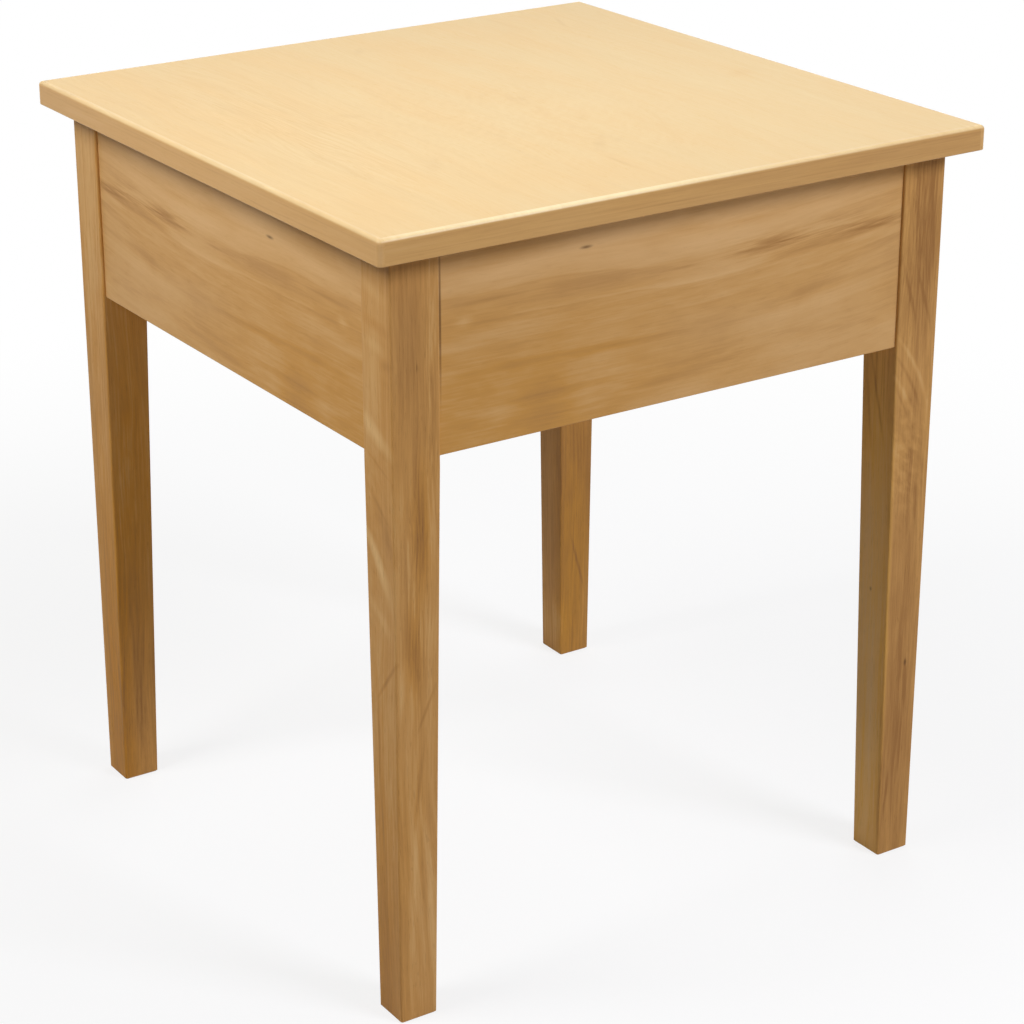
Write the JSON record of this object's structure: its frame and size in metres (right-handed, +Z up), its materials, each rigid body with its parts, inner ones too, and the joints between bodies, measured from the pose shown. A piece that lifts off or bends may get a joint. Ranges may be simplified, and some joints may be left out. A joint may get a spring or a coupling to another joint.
{
  "type": "chairside table",
  "caption": "Square wooden chairside table: flat veneered top with solid edge bands, deep plain aprons and square legs tapered on their inner faces, held by corner blocks.",
  "frame": {"origin": "on the floor, under the middle of the top", "axes": "+Z up; +X to the right and +Y to the back when one stands in front of the table, whose front faces -Y; the leg nearest the camera in the picture is the front left one"},
  "size_m": [0.53, 0.53, 0.614],
  "materials": {
    "face_veneer": "satin clear lacquer over pale plain-sawn veneer",
    "back_veneer": "unlacquered backing veneer",
    "panel_core": "raw pressed wood board",
    "edge_wood": "satin clear lacquer over solid wood edging",
    "leg_wood": "satin clear lacquer over solid wood",
    "apron_wood": "satin clear lacquer over solid wood",
    "block_wood": "raw planed softwood",
    "bolt_steel": "bright zinc plate",
    "screw_steel": "yellow zinc plate"
  },
  "bodies": {
    "root": {"top_back_veneer": "back_veneer", "top_core": "panel_core", "top_face_veneer": "face_veneer", "edge_band_front": "edge_wood", "edge_band_right": "edge_wood", "edge_band_back": "edge_wood", "edge_band_left": "edge_wood", "leg_front_left": "leg_wood", "leg_front_right": "leg_wood", "leg_back_right": "leg_wood", "leg_back_left": "leg_wood", "apron_front": "apron_wood", "apron_right": "apron_wood", "apron_back": "apron_wood", "apron_left": "apron_wood", "corner_block_front_left": "block_wood", "corner_block_front_right": "block_wood", "corner_block_back_right": "block_wood", "corner_block_back_left": "block_wood", "top_cleat_front": "block_wood", "top_cleat_right": "block_wood", "top_cleat_back": "block_wood", "top_cleat_left": "block_wood", "hanger_bolts": "bolt_steel", "hanger_bolt_washers": "bolt_steel", "hanger_bolt_nuts": "bolt_steel", "corner_block_screws": "screw_steel", "cleat_screws": "screw_steel", "top_screws": "screw_steel"}
  },
  "joints": []
}
